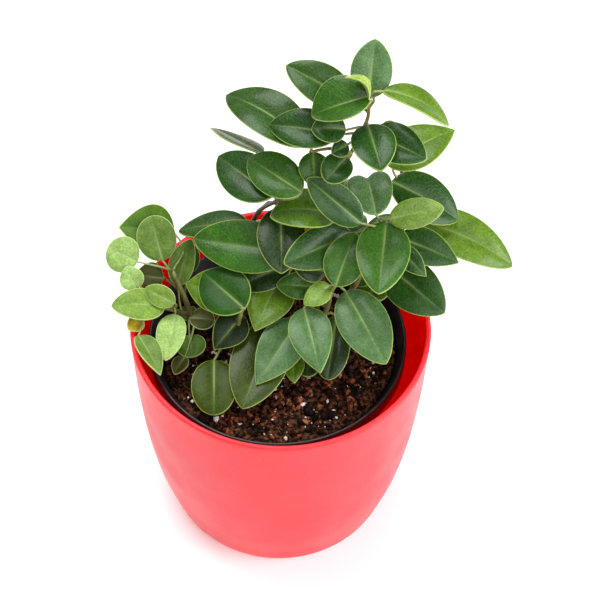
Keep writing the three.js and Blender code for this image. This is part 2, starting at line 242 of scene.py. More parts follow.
class Mould:
    """A mesh in the making, in millimetres, with the layers that the finishes read."""

    WELD = 1e-3

    def __init__(self) -> None:
        """Starts an empty mesh."""
        self.bm = bmesh.new()
        self.uv = self.bm.loops.layers.uv.new("UVMap")
        self.tint = self.bm.verts.layers.float_color.new("tint")
        numbers = self.bm.verts.layers.float
        self.margin, self.rib = numbers.new("margin"), numbers.new("rib")
        self.across, self.along = numbers.new("across"), numbers.new("along")

    def turn(self, profile: Sequence[tuple[float, float]], steps: int) -> list[BMVert]:
        """Spins a closed body round Z, in an empty mesh, from a profile that starts and ends on the axis.

        Args:
            profile: Points of radius and height.
            steps: How many steps the full turn has.

        Returns:
            The body's vertices.
        """
        verts = [self.bm.verts.new((radius, 0, height)) for radius, height in profile]
        edges = [self.bm.edges.new(pair) for pair in zip(verts, verts[1:])]
        bmesh.ops.spin(
            self.bm, geom=verts + edges, cent=(0, 0, 0), axis=(0, 0, 1), angle=2 * math.pi, steps=steps,
            use_merge=True, use_duplicate=False,
        )
        bmesh.ops.remove_doubles(self.bm, verts=self.bm.verts, dist=self.WELD)
        made = list(self.bm.verts)
        self.close(made, 0)
        return made

    def close(self, verts: Iterable[BMVert], slot: int) -> list[BMFace]:
        """Turns the faces of a finished closed part outwards, and gives them their finish.

        Args:
            verts: The part's vertices.
            slot: The material slot.

        Returns:
            The part's faces.
        """
        faces = list({face for vert in verts if vert.is_valid for face in vert.link_faces})
        bmesh.ops.recalc_face_normals(self.bm, faces=faces)
        for face in faces:
            face.smooth = True
            face.material_index = slot
        return faces

    def bar(
        self, points: Sequence[Vector], radii: Sequence[float], tints: Sequence[Colour], sides: int
    ) -> None:
        """Draws a round bar through points.

        Args:
            points: The middles of its rings.
            radii: The radius at each point.
            tints: The colour at each point.
            sides: How many sides it has.
        """
        frames = []
        across = None
        for i, middle in enumerate(points):
            onward = (points[min(i + 1, len(points) - 1)] - points[max(i - 1, 0)]).normalized()
            guide = across if across is not None else onward.orthogonal()
            across = (guide - onward * guide.dot(onward)).normalized()
            upward = onward.cross(across)
            frame_at = Matrix((across, upward, onward)).transposed().to_4x4()
            frames.append(Matrix.Translation(middle) @ frame_at @ Matrix.Scale(radii[i], 4))
        ring = bmesh.ops.create_circle(
            self.bm, cap_ends=True, segments=sides, radius=1, matrix=frames[0]
        )["verts"]
        made = list(ring)
        edges = list({edge for vert in ring for edge in vert.link_edges})
        for vert in ring:
            vert[self.tint] = tints[0]
        for i in range(1, len(frames)):
            grown = bmesh.ops.extrude_edge_only(self.bm, edges=edges)["geom"]
            ring = [item for item in grown if isinstance(item, BMVert)]
            edges = [item for item in grown if isinstance(item, BMEdge)]
            bmesh.ops.transform(self.bm, matrix=frames[i] @ frames[i - 1].inverted(), verts=ring)
            for vert in ring:
                vert[self.tint] = tints[i]
            made += ring
        bmesh.ops.edgeloop_fill(self.bm, edges=edges)
        self.close(made, 0)

    def absorb(self, part: "Mould") -> None:
        """Takes in a part that was made apart, which is quicker than working in a large mesh.

        Args:
            part: The part, which is used up.
        """
        mesh = settle(part.bm, "part")
        self.bm.from_mesh(mesh)
        bpy.data.meshes.remove(mesh)

    def finish(self, name: str, node: str, slot: str, finishes: Sequence[Material]) -> Object:
        """Makes the piece, in metres, and puts it in the place of its node.

        Args:
            name: The piece's name.
            node: The node that it replaces.
            slot: The record's material slot; not used.
            finishes: The piece's materials, by slot.

        Returns:
            The piece.
        """
        for layer in (self.across, self.along):
            self.bm.verts.layers.float.remove(layer)
        bmesh.ops.scale(self.bm, vec=(MM, MM, MM), verts=self.bm.verts)
        mesh = settle(self.bm, name)
        for material in finishes:
            mesh.materials.append(material)
        piece = show(name, mesh)
        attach(piece, "root")
        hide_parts(node)
        triangles = sum(len(face.vertices) - 2 for face in mesh.polygons)
        log.info("%s stands for %s: %d triangles", name, node, triangles)
        return piece


class Shading:
    """A material's nodes, built up in small steps."""

    SPARSE, DENSE = 0.3, 0.7

    def __init__(self, name: str) -> None:
        """Starts a material with one shader.

        Args:
            name: The material's name.
        """
        self.material = bpy.data.materials.new(name)
        self.material.use_nodes = True
        self.tree = self.material.node_tree
        self.shader = self.tree.nodes["Principled BSDF"]
        self.place = self.node("ShaderNodeTexCoord", {}).outputs["Object"]

    def put(self, socket: NodeSocket, value: object) -> None:
        """Links a socket to another, or sets its value.

        Args:
            socket: The input.
            value: An output to link, or a value to set.
        """
        if isinstance(value, NodeSocket):
            self.tree.links.new(value, socket)
        else:
            socket.default_value = value

    def node(self, kind: str, inputs: dict[int | str, object], **settings: object) -> ShaderNode:
        """A new node.

        Args:
            kind: Its type.
            inputs: The values or links of its inputs, by number or name.
            **settings: Its properties.

        Returns:
            The node.
        """
        made = self.tree.nodes.new(kind)
        for key, value in settings.items():
            setattr(made, key, value)
        for key, value in inputs.items():
            self.put(made.inputs[key], value)
        return made

    def read(self, name: str, output: str = "Fac") -> NodeSocket:
        """The piece's own attribute of a name."""
        return self.node("ShaderNodeAttribute", {}, attribute_name=name).outputs[output]

    def calc(self, operation: str, first: object, second: object = 0.0) -> NodeSocket:
        """A sum of two numbers."""
        return self.node("ShaderNodeMath", {0: first, 1: second}, operation=operation).outputs[0]

    def fade(
        self, value: NodeSocket, start: float, end: float, low: float = 0, high: float = 1
    ) -> NodeSocket:
        """A soft step: low where the value is at the start, and high where it is at the end."""
        inputs = dict(enumerate((value, start, end, low, high)))
        return self.node("ShaderNodeMapRange", inputs, interpolation_type="SMOOTHSTEP").outputs[0]

    def mix(self, share: object, first: object, second: object, mode: str = "MIX") -> NodeSocket:
        """A mix of two colours, with a share of the second."""
        inputs = {"Factor": share, 6: first, 7: second}
        return self.node("ShaderNodeMix", inputs, data_type="RGBA", blend_type=mode).outputs[2]

    def grain(self, scale: float, detail: float, stretch: Point = (1.0, 1.0, 1.0)) -> NodeSocket:
        """A cloudy pattern in the piece's own space.

        Args:
            scale: How many clouds to a metre.
            detail: How many finer layers it has.
            stretch: How much it is squeezed along each axis.

        Returns:
            The pattern, from 0 to 1.
        """
        mapping = self.node("ShaderNodeMapping", {"Vector": self.place, "Scale": stretch})
        inputs = {"Vector": mapping.outputs[0], "Scale": scale, "Detail": detail}
        return self.node("ShaderNodeTexNoise", inputs).outputs["Fac"]

    def bump(self, height: NodeSocket, distance: float) -> None:
        """Gives the shader a relief, on top of any that it has.

        Args:
            height: The relief, from 0 to 1.
            distance: Its depth in metres.
        """
        normal = self.shader.inputs["Normal"]
        below = {"Normal": link.from_socket for link in normal.links}
        made = self.node("ShaderNodeBump", {"Distance": distance, "Height": height, **below})
        self.put(normal, made.outputs[0])

    def roughen(self, pattern: NodeSocket, middle: float, below: float, above: float) -> None:
        """Makes the roughness follow a pattern, so far below and above the middle."""
        self.give(Roughness=self.fade(pattern, self.SPARSE, self.DENSE, middle - below, middle + above))

    def give(self, **values: object) -> None:
        """Sets or links the shader's inputs, by name, with _ for each space."""
        for key, value in values.items():
            self.put(self.shader.inputs[key.replace("_", " ")], value)


@dataclass(frozen=True)
class CoralPlastic:
    """Smooth moulded plastic in coral red, with a satin gloss and a little dust; the lining inside the pot
    is painted a deeper red, as painted bounce light from the red walls.
    """

    colour: Colour = paint(247, 58, 66)
    # A deeper red, used for random clouds on the plastic and for the painted bounce light on the lining.
    deep: Colour = paint(252, 14, 16)
    dust: Colour = paint(255, 214, 210)
    roughness: float = 0.36
    glow: float = 0.008

    def make(self) -> Material:
        """The finish as a material."""
        look = Shading("coral_plastic")
        clouds = look.fade(look.grain(14, 2), look.SPARSE, look.DENSE, 0.0, 0.2)
        tone = look.mix(clouds, self.colour, self.deep)
        # Painted bounce light: the lining, which the rib layer marks, takes the deeper red that light
        # bouncing inside the pot would give.
        tone = look.mix(look.read("rib"), tone, self.deep)
        specks = look.fade(look.grain(900, 2), 0.68, 0.74, 0.0, 0.1)
        look.give(Base_Color=look.mix(specks, tone, self.dust))
        look.roughen(look.grain(60, 4), self.roughness, 0.05, 0.07)
        look.give(Specular_IOR_Level=0.18, Coat_Weight=0.05, Coat_Roughness=0.3)
        look.give(Subsurface_Weight=1.0, Subsurface_Radius=(1.0, 0.08, 0.08), Subsurface_Scale=self.glow)
        look.bump(look.grain(260, 2), 0.00004)
        look.bump(look.grain(2600, 2), 0.000008)
        return look.material


@dataclass(frozen=True)
class BlackPlastic:
    """Thin black plastic with a slight sheen and smears of dried soil."""

    colour: Colour = paint(22, 23, 27)
    soil: Colour = paint(62, 44, 34)
    roughness: float = 0.33

    def make(self) -> Material:
        """The finish as a material."""
        look = Shading("black_plastic")
        smears = look.fade(look.grain(120, 5), 0.52, 0.72, 0.0, 0.5)
        look.give(Base_Color=look.mix(smears, self.colour, self.soil))
        look.roughen(look.grain(200, 4), self.roughness, 0.06, 0.2)
        look.bump(look.grain(180, 3), 0.0002)
        return look.material


@dataclass(frozen=True)
class DampSoil:
    """Damp peat and coir: crumbs of many browns, which a tint shades at an alpha of 1 and covers at 0."""

    colour: Colour = paint(21, 9, 4)
    dry: Colour = paint(94, 58, 38)
    roughness: float = 0.85
    relief: float = 0.0012

    def make(self) -> Material:
        """The finish as a material."""
        look = Shading("damp_soil")
        crumbs = look.fade(look.grain(650, 5), 0.42, 0.64)
        ground = look.mix(crumbs, self.colour, self.dry)
        tint = look.read("tint", "Color")
        shown = look.mix(look.read("tint", "Alpha"), tint, look.mix(1.0, ground, tint, "MULTIPLY"))
        look.give(Base_Color=shown, Roughness=self.roughness, Specular_IOR_Level=0.12)
        look.bump(look.grain(800, 5), self.relief)
        return look.material


@dataclass(frozen=True)
class StemSkin:
    """The skin of stems and petioles: juicy, with fine streaks along them."""

    streaks: Colour = paint(150, 96, 62)
    roughness: float = 0.42

    def make(self) -> Material:
        """The finish as a material."""
        look = Shading("stem_skin")
        share = look.fade(look.grain(700, 3, (1, 1, 0.2)), look.SPARSE, look.DENSE, 0.0, 0.5)
        look.give(Base_Color=look.mix(share, look.read("tint", "Color"), self.streaks, "MULTIPLY"))
        look.give(Roughness=self.roughness, Coat_Weight=0.1, Coat_Roughness=0.3)
        look.bump(look.grain(1200, 3, (1, 1, 0.3)), 0.00008)
        return look.material


@dataclass(frozen=True)
class LeafSkin:
    """The skin of a blade: waxy and mottled, with painted glint speckle, a pale midrib, faint side veins and
    a thin pale margin.
    """

    name: str
    roughness: float
    wax: float
    gloss: float = 0.2
    margin: Colour = paint(164, 186, 88)
    midrib: Colour = paint(158, 182, 108)
    margin_width: float = 0.34
    rib_width: float = 0.6
    rib_weight: float = 0.4
    glow_width: float = 1.8
    vein_pairs: float = 6.0
    vein_weight: float = 0.04
    dimples: float = 0.0001
    shade: Colour = (0.5, 0.58, 0.36, 1)
    # Painted highlights: fine cells are lightened as a speckle of glints on the wax.
    painted_glints: Colour = (1.6, 1.5, 1.4, 1)
    dark_cells: Colour = (0.7, 0.75, 0.66, 1)

    def make(self) -> Material:
        """The finish as a material."""
        look = Shading(self.name)
        rib = look.read("rib")
        places = look.node("ShaderNodeUVMap", {}, uv_map="UVMap").outputs[0]
        along = look.node("ShaderNodeSeparateXYZ", {0: places}).outputs[1]
        clouds, cells = look.grain(170, 3), look.grain(1200, 2)
        veins = self.draw_veins(look, rib, along)
        tone = look.read("tint", "Color")
        tone = look.mix(look.fade(clouds, 0.3, 0.72, 0.0, 0.7), tone, self.shade, "MULTIPLY")
        # Painted glints: lightens the fine cells as a speckle of highlights.
        tone = look.mix(look.fade(cells, 0.4, 0.75, 0.0, 0.7), tone, self.painted_glints, "MULTIPLY")
        tone = look.mix(look.fade(cells, 0.5, 0.25, 0.0, 0.6), tone, self.dark_cells, "MULTIPLY")
        tone = look.mix(look.calc("MULTIPLY", veins, self.vein_weight), tone, self.midrib)
        fading = look.fade(along, 0.1, 1.0, 1.0, 0.1)
        glow = look.fade(rib, self.glow_width, 0.1, 0.0, self.rib_weight * 0.35)
        tone = look.mix(look.calc("MULTIPLY", glow, fading), tone, self.midrib)
        line = look.calc("MULTIPLY", look.fade(rib, self.rib_width, 0.08), fading)
        tone = look.mix(look.calc("MULTIPLY", line, self.rib_weight), tone, self.midrib)
        edge = look.fade(look.read("margin"), self.margin_width, self.margin_width * 0.35, 0.0, 0.75)
        look.give(Base_Color=look.mix(edge, tone, self.margin))
        look.roughen(cells, self.roughness, 0.06, 0.12)
        look.give(Specular_IOR_Level=self.gloss, Coat_Weight=self.wax, Coat_Roughness=0.2)
        look.bump(look.calc("SUBTRACT", clouds, look.calc("MULTIPLY", veins, 0.12)), 0.0003)
        look.bump(cells, self.dimples)
        return look.material

    def draw_veins(self, look: Shading, rib: NodeSocket, along: NodeSocket) -> NodeSocket:
        """The side veins, which lean towards the tip and waver.

        Args:
            look: The material's nodes.
            rib: How far a spot is from the midrib, in millimetres.
            along: Its share of the blade's length.

        Returns:
            A pattern that is 1 on a vein and 0 between veins.
        """
        lean = look.calc("MULTIPLY", rib, 0.2)
        waver = look.calc("MULTIPLY", look.grain(300, 2), 0.5)
        phase = look.calc("SUBTRACT", look.calc("MULTIPLY", along, self.vein_pairs), lean)
        phase = look.calc("FRACT", look.calc("ADD", phase, waver))
        stripe = look.calc("ABSOLUTE", look.calc("SUBTRACT", phase, 0.5))
        return look.calc("MULTIPLY", look.fade(stripe, 0.08, 0.0), look.fade(rib, 0.3, 2.0))


@dataclass
class OuterPot:
    """The coral cachepot: a bowl-shaped cup with a flat foot and a plain rounded lip."""

    height: float = 108
    rim_radius: float = 60
    foot_radius: float = 41.5
    wall: float = 2.2
    floor: float = 3
    steps: int = 160
    rings: int = 60
    lip_rings: int = 8
    side: Sequence[tuple[float, float]] = (
        (41.5, 0), (43.5, 0.8), (45.1, 2.4), (46.5, 4.6), (49, 13), (52.5, 27), (56, 48.6), (58.5, 75.6),
        (60, 106.9),
    )

    def build(self) -> Object:
        """Turns the pot, marks its lining for the painted bounce light, and dresses it."""
        lip = self.wall / 2
        outside = [(spot.x, spot.z) for spot in Line((r, 0, z) for r, z in self.side).spread(self.rings)]
        rim = [
            (self.rim_radius - lip + lip * math.cos(turn), self.height - lip + lip * math.sin(turn))
            for turn in (math.pi * i / self.lip_rings for i in range(1, self.lip_rings))
        ]
        inside = [(r - self.wall, z) for r, z in reversed(outside) if z > self.floor + 1]
        bottom = [(self.foot_radius, self.floor), (0, self.floor)]
        mould = Mould()
        for vert in mould.turn([(0, 0), *outside, *rim, *inside, *bottom], self.steps):
            x, y, height = vert.co
            # The lining's mark, on the rib layer, sets where the finish paints the bounce light of the inner
            # wall.
            near = [r for r, z in outside if abs(z - height) < 1.5] or [self.rim_radius]
            within = math.hypot(x, y) < min(near) - self.wall * 0.6
            if within and self.floor - 0.1 < height < self.height - 0.6:
                vert[mould.rib] = 1.0
        return mould.finish("outer_pot_shell", "outer_pot", "coral_plastic", [CoralPlastic().make()])


@dataclass
class NurseryPot:
    """The black grower pot: a thin tapered cup with a stepped lip and drain holes."""

    shift: float = -1.2
    top: float = 98.8
    lip_radius: float = 51.8
    lip_step: float = 2
    lip_height: float = 6.8
    foot: float = 3.3
    foot_radius: float = 34
    wall: float = 1.2
    steps: int = 144
    drains: int = 4
    drain_ring: float = 22
    drain_radius: float = 4
    drain_sides: int = 24

    def radius(self, height: float) -> float:
        """The wall's outer radius at a height."""
        share = (height - self.foot) / (self.top - self.foot)
        return self.foot_radius + (self.lip_radius - self.lip_step - self.foot_radius) * share

    def build(self) -> Object:
        """Turns the cup, drills its base and dresses it."""
        lip, top, foot, wall = self.lip_radius, self.top, self.foot, self.wall
        step = top - self.lip_height
        floor = foot + wall
        outside = [
            (0, foot), (self.foot_radius - 0.8, foot), (self.foot_radius, foot + 0.8),
            (self.radius(step), step), (lip - 0.3, step), (lip, step + 0.3),
            (lip, top - 0.6), (lip - 0.15, top - 0.2), (lip - 0.5, top),
        ]
        inside = [
            (lip - wall + 0.3, top), (lip - wall, top - 0.4),
            (self.radius(step) - wall + 0.3, step + 0.8), (self.radius(step) - wall, step),
            (self.radius(floor) - wall, floor), (0, floor),
        ]
        mould = Mould()
        mould.turn([*outside, *inside], self.steps)
        bmesh.ops.translate(mould.bm, vec=(self.shift, 0, 0), verts=mould.bm.verts)
        piece = mould.finish("nursery_pot_shell", "nursery_pot", "black_plastic", [BlackPlastic().make()])
        self.drill(piece)
        return piece

    def drill(self, piece: Object) -> None:
        """Cuts the drain holes.

        Args:
            piece: The cup.
        """
        cutter = bmesh.new()
        radius, ring = self.drain_radius * MM, self.drain_ring
        for i in range(self.drains):
            angle = (i + 0.5) * 2 * math.pi / self.drains
            middle = Vector((ring * math.cos(angle) + self.shift, ring * math.sin(angle), self.foot))
            bmesh.ops.create_cone(
                cutter, cap_ends=True, segments=self.drain_sides, radius1=radius, radius2=radius,
                depth=4 * self.wall * MM, matrix=Matrix.Translation(middle * MM),
            )
        mesh = settle(cutter, "drain_holes")
        drill = show("drain_holes", mesh)
        cut = piece.modifiers.new("drain", "BOOLEAN")
        cut.object = drill
        cut.operation = "DIFFERENCE"
        drilled = bpy.data.meshes.new_from_object(piece.evaluated_get(bpy.context.evaluated_depsgraph_get()))
        piece.modifiers.remove(cut)
        old, piece.data = piece.data, drilled
        bpy.data.meshes.remove(old)
        drilled.name = piece.name
        bpy.data.objects.remove(drill)
        bpy.data.meshes.remove(mesh)


@dataclass(frozen=True)
class Lumps:
    """One kind of lump on the soil: how many, their radii and tints, how far out and how high they lie."""

    count: int
    sizes: tuple[float, float]
    tints: Sequence[Colour]
    reach: float = 0.95
    lift: float = 0.0


BROWNS = ((1.0, 0.9, 0.8, 1), (0.4, 0.4, 0.4, 1), (1.8, 1.4, 1.3, 1), (2.7, 1.9, 1.7, 1), (0.2, 0.2, 0.2, 1))
REDS = ((2.9, 2.1, 1.9, 1), (2.3, 1.8, 1.7, 1), (4.0, 4.0, 4.2, 1))
WHITES = (paint(236, 230, 222, 0), paint(200, 190, 176, 0), paint(150, 118, 78, 0))
CRUMBS = Lumps(1900, (0.4, 2.5), BROWNS, reach=0.98)
BARK = Lumps(170, (0.6, 2.9), REDS)
GRIT = Lumps(240, (0.25, 0.6), WHITES, lift=1.0)
PERLITE = Lumps(96, (0.6, 1.3), WHITES[:2], lift=1.2)


@dataclass
class PottingSoil:
    """The soil: it fills the nursery pot, higher at the right, with crumbs, bark and white grains on it."""

    shift: float = -1.2
    top: float = 90.6
    shoulder: float = 0.8
    slope: float = 0.07
    foot: float = 4.8
    foot_radius: float = 32.6
    edge_radius: float = 47
    taper: float = 0.165
    rings: int = 44
    steps: int = 150
    flatness: float = 0.8
    ruggedness: float = 0.25
    lumps: Sequence[Lumps] = (CRUMBS, BARK, GRIT, PERLITE)

    def height(self, x: float, y: float) -> float:
        """The height of the surface, with its slope and its coarse and fine lumps."""
        coarse = 0.7 * math.sin(0.23 * x + 1) * math.cos(0.19 * y) + 0.4 * math.sin(0.5 * x + 0.41 * y)
        fine = 0.6 * noise.fractal(Vector((x, y, 3)) * 0.35, 0.7, 2.2, 4)
        return self.top + self.slope * x + coarse + fine

    def fit(self, height: float) -> float:
        """The radius at which the soil meets the nursery pot's wall at a height."""
        return self.edge_radius + self.taper * (height - self.top)

    def scatter(self, mould: Mould, draw: random.Random, lumps: Lumps) -> None:
        """Lays lumps of one kind on the surface.

        Args:
            mould: The mesh that takes them.
            draw: The random draws.
            lumps: Their kind.
        """
        least, greatest = lumps.sizes
        for _ in range(lumps.count):
            part = Mould()
            angle = draw.uniform(0, 2 * math.pi)
            far = self.edge_radius * lumps.reach * math.sqrt(draw.random())
            x, y = far * math.cos(angle), far * math.sin(angle)
            size = least + (greatest - least) * draw.random() ** 2.5
            length, width = size * draw.uniform(0.7, 1.6), size * draw.uniform(0.6, 1.1)
            shape = Matrix.Diagonal((length, width, size * self.flatness, 1))
            turn = Matrix.Rotation(draw.uniform(0, math.pi), 4, "Z")
            turn = turn @ Matrix.Rotation(draw.uniform(-0.6, 0.6), 4, "X")
            pose = Matrix.Translation((x, y, self.height(x, y) + size * 0.25 + lumps.lift)) @ turn @ shape
            made = bmesh.ops.create_icosphere(part.bm, subdivisions=1, radius=1, matrix=pose)["verts"]
            tint = draw.choice(lumps.tints)
            for vert in made:
                vert.co += Vector([draw.uniform(-1, 1) for _ in range(3)]) * size * self.ruggedness
                vert[part.tint] = tint
            part.close(made, 0)
            mould.absorb(part)

    def build(self) -> Object:
        """Turns the plug of soil, roughens its surface, and lays the lumps on it."""
        mould = Mould()
        rings = [(self.edge_radius * (1 - i / self.rings), self.top) for i in range(1, self.rings + 1)]
        side = [(0, self.foot), (self.foot_radius, self.foot), (self.edge_radius, self.top - self.shoulder)]
        for vert in mould.turn([*side, *rings], self.steps):
            vert[mould.tint] = (1, 1, 1, 1)
            if vert.co.z > self.foot + 1:
                height = self.height(vert.co.x, vert.co.y) + vert.co.z - self.top
                spread = self.fit(height) / self.edge_radius
                vert.co = (vert.co.x * spread, vert.co.y * spread, height)
        draw = random.Random(SEED)
        for lumps in self.lumps:
            self.scatter(mould, draw, lumps)
        bmesh.ops.translate(mould.bm, vec=(self.shift, 0, 0), verts=mould.bm.verts)
        return mould.finish("soil_surface", "soil", "potting_soil", [DampSoil().make()])


@dataclass
class Blade:
    """A blade in space: its wave is where its ripple starts, its sway how far it bends aside."""

    leaf: Leaf
    wave: float
    sway: float
    rib_thickness: float = 1.1
    edge_thickness: float = 0.5
    bulge: float = 0.24
    ripple: float = 0.3
    ripples: float = 5
    droop: float = 0.3
    droop_start: float = 0.65
    curl: float = 0.25
    groove: float = 0.22
    groove_width: float = 0.7
    notch_width: float = 2

    def __post_init__(self) -> None:
        """Finds the directions along the blade, out of its upper face and across it."""
        self.start = Vector(self.leaf.base)
        self.reach = Vector(self.leaf.tip) - self.start
        self.along = self.reach.normalized()
        face = Vector(self.leaf.face)
        self.up = (face - self.along * face.dot(self.along)).normalized()
        self.side = self.along.cross(self.up)

    def spine(self, share: float) -> Vector:
        """The middle of the blade at a share of its length."""
        return self.start + self.reach * share + self.up * self.leaf.rise * 4 * share * (1 - share)

    def thickness(self, off: float, half: float) -> float:
        """The thickness, which is less near the edge and where half the width is small."""
        thick = self.edge_thickness + (self.rib_thickness - self.edge_thickness) * (1 - off) ** 1.5
        return thick * (0.55 + 0.45 * min(1, half / 3))

    def spot(self, across: float, share: float, under: bool) -> Vector:
        """A spot on one of the blade's faces.

        Args:
            across: How far off the spine it lies, from -1 to 1.
            share: Its share of the blade's length.
            under: Whether it is on the lower face.

        Returns:
            Its place.
        """
        off, half = abs(across), self.leaf.half_width(share)
        fold = math.radians(self.leaf.fold)
        lift = half * off * (math.sin(fold) + self.bulge * (1 - off)) - self.curl * off**5
        lift += self.ripple * math.sin(self.wave + self.ripples * share) * off**2 * min(1, half / 5)
        lift -= self.droop * max(0.0, (share - self.droop_start) / (1 - self.droop_start)) ** 2
        groove = self.groove * math.exp(-((off * half / self.groove_width) ** 2)) * (1 - share) ** 0.5
        thick = self.thickness(off, half)
        lift += -thick / 2 if under else thick / 2 - groove
        bend = across * half * math.cos(fold) + self.sway * math.sin(math.pi * share)
        notch = self.leaf.outline.notch * math.exp(-((off * half / self.notch_width) ** 2)) * share**8
        return self.spine(share) + self.side * bend - self.along * notch + self.up * lift


@dataclass
class LeafyStem:
    """A leafy stem: its shoots, petioles and blades in one piece."""

    node: str
    slot: str
    shoots: Sequence[Shoot]
    bark: Colour
    green: Colour
    skin: LeafSkin
    petiole: Colour = paint(186, 196, 120)
    underside: Colour = paint(150, 170, 120)
    knot_length: float = 1.8
    knot_swell: float = 0.22
    petiole_arch: float = 0.12
    petiole_swing: float = 0.25
    petiole_radius: float = 0.62
    keel_steps: int = 10
    keel_reach: float = 0.8
    shoot_step: float = 1.6
    shoot_sides: int = 14
    petiole_step: float = 1.2
    petiole_sides: int = 10
    rows: int = 28
    columns: tuple[float, ...] = (0, 0.06, 0.18, 0.36, 0.56, 0.74, 0.88, 0.97, 1)
    draw: random.Random = field(default_factory=lambda: random.Random(SEED))

    def build(self) -> Object:
        """Builds every shoot with its leaves and dresses the piece."""
        mould = Mould()
        main = None
        for shoot in self.shoots:
            path = [Vector(point) for point in shoot.path]
            if main:
                path.insert(0, main.at(shoot.start))
            line = Line(path)
            main = main or line
            part = Mould()
            self.grow_shoot(part, shoot, line)
            mould.absorb(part)
            for leaf in shoot.leaves:
                part = Mould()
                blade = Blade(leaf, self.draw.uniform(0, 2 * math.pi), self.draw.uniform(-0.15, 0.15))
                self.grow_petiole(part, blade, line.at(leaf.share))
                self.grow_blade(part, blade)
                mould.absorb(part)
        finishes = [StemSkin().make(), self.skin.make()]
        return mould.finish(self.node + "_leaves", self.node, self.slot, finishes)

    def grow_shoot(self, mould: Mould, shoot: Shoot, line: Line) -> None:
        """Draws a shoot as a bar that tapers, and swells where leaves spring from it.

        Args:
            mould: The mesh that takes it.
            shoot: The shoot.
            line: Its middle.
        """
        count = max(8, round(line.length / self.shoot_step))
        radii, tints = [], []
        for i in range(count):
            share = i / (count - 1)
            gaps = [(share - leaf.share) * line.length / self.knot_length for leaf in shoot.leaves]
            swell = min(1, sum(math.exp(-(gap**2)) for gap in gaps))
            radii.append(shoot.radius * (1.05 - shoot.taper * share) * (1 + self.knot_swell * swell))
            tints.append(blend(self.bark, self.green, share**1.5))
        radii[-1] *= 0.6
        mould.bar(line.spread(count), radii, tints, self.shoot_sides)

    def grow_petiole(self, mould: Mould, blade: Blade, root: Vector) -> None:
        """Draws a petiole as a bar that goes on under the blade as its keel.

        Args:
            mould: The mesh that takes it.
            blade: The blade.
            root: Where the petiole leaves the shoot.
        """
        far = (blade.start - root).length
        arch = root.lerp(blade.start, 0.5) - blade.along * self.petiole_swing * far
        arch += Vector((0, 0, self.petiole_arch * far))
        stalk = Line([root, arch, blade.start - blade.up * 0.15])
        count = max(5, round(stalk.length / self.petiole_step))
        points = stalk.spread(count)
        radii = [self.petiole_radius * (1 - 0.25 * i / (count - 1)) for i in range(count)]
        pale = blend(blade.leaf.tint.colour, self.petiole, 0.5)
        tints = [blend(self.green, pale, i / (count - 1)) for i in range(count)]
        for i in range(1, self.keel_steps + 1):
            share = i * self.keel_reach / self.keel_steps
            points.append(blade.spine(share) - blade.up * (0.15 + 0.35 * min(1, share * 4)))
            radii.append(self.petiole_radius * 0.75 * (1 - share * 0.95))
            tints.append(pale)
        mould.bar(points, radii, tints, self.petiole_sides)

    def grow_blade(self, mould: Mould, blade: Blade) -> None:
        """Draws a blade: a grid that is given thickness and bent to the leaf's form.

        Args:
            mould: The mesh that takes it.
            blade: The blade.
        """
        leaf, reach = blade.leaf, len(self.columns) - 1
        made = bmesh.ops.create_grid(mould.bm, x_segments=2 * reach, y_segments=self.rows, size=1)["verts"]
        for vert in made:
            column = round(vert.co.x * reach)
            vert[mould.across] = math.copysign(self.columns[abs(column)], column)
            vert[mould.along] = (1 - math.cos(math.pi * (vert.co.y + 1) / 2)) / 2
        faces = list({face for vert in made for face in vert.link_faces})
        shell = bmesh.ops.extrude_face_region(mould.bm, geom=faces, use_keep_orig=True)["geom"]
        under = {item for item in shell if isinstance(item, BMVert)}
        below = blend(leaf.tint.colour, self.underside, 0.45)
        verts = [*made, *under]
        for vert in verts:
            across, share = vert[mould.across], vert[mould.along]
            half = leaf.half_width(share)
            slope = (leaf.half_width(min(share + 0.01, 1)) - half) / (0.01 * blade.reach.length)
            vert[mould.rib] = abs(across) * half
            vert[mould.margin] = (1 - abs(across)) * half / math.sqrt(1 + slope * slope)
            vert.co = blade.spot(across, share, vert in under)
            vert[mould.tint] = below if vert in under else leaf.tint.colour
        bmesh.ops.remove_doubles(mould.bm, verts=verts, dist=mould.WELD)
        for face in mould.close(verts, 1):
            for loop in face.loops:
                loop[mould.uv].uv = (0.5 + loop.vert[mould.across] / 2, loop.vert[mould.along])


ROUND, POINTED, HEART = Outline.ROUND, Outline.POINTED, Outline.HEART
DARK, SHADE, DEEP, MEDIUM, GREEN, FRESH, BLUISH_SHEEN, OLIVE, LIGHT, LIME, YOUNG, PALE, MATT, BROWN, YELLOW = Tint

GLOSSY = LeafSkin("glossy_leaf", 0.28, 0.25, dimples=0.00036)
SATIN = LeafSkin("satin_leaf", 0.34, 0.2, dimples=0.00032)
DULL = LeafSkin("dull_leaf", 0.42, 0.08, gloss=0.12, dimples=0.0002)
SOFT = LeafSkin(
    "soft_leaf", 0.5, 0.04, margin=paint(190, 210, 140), midrib=paint(190, 212, 150), rib_weight=0.2
)

SUNK_HEIGHTS = (72, 84, 95)


def rooted(x: float, y: float, *path: Point) -> tuple[Point, ...]:
    """The path of a main shoot: upright in the soil, then through the points given."""
    return (*((x, y, z) for z in SUNK_HEIGHTS), *path)


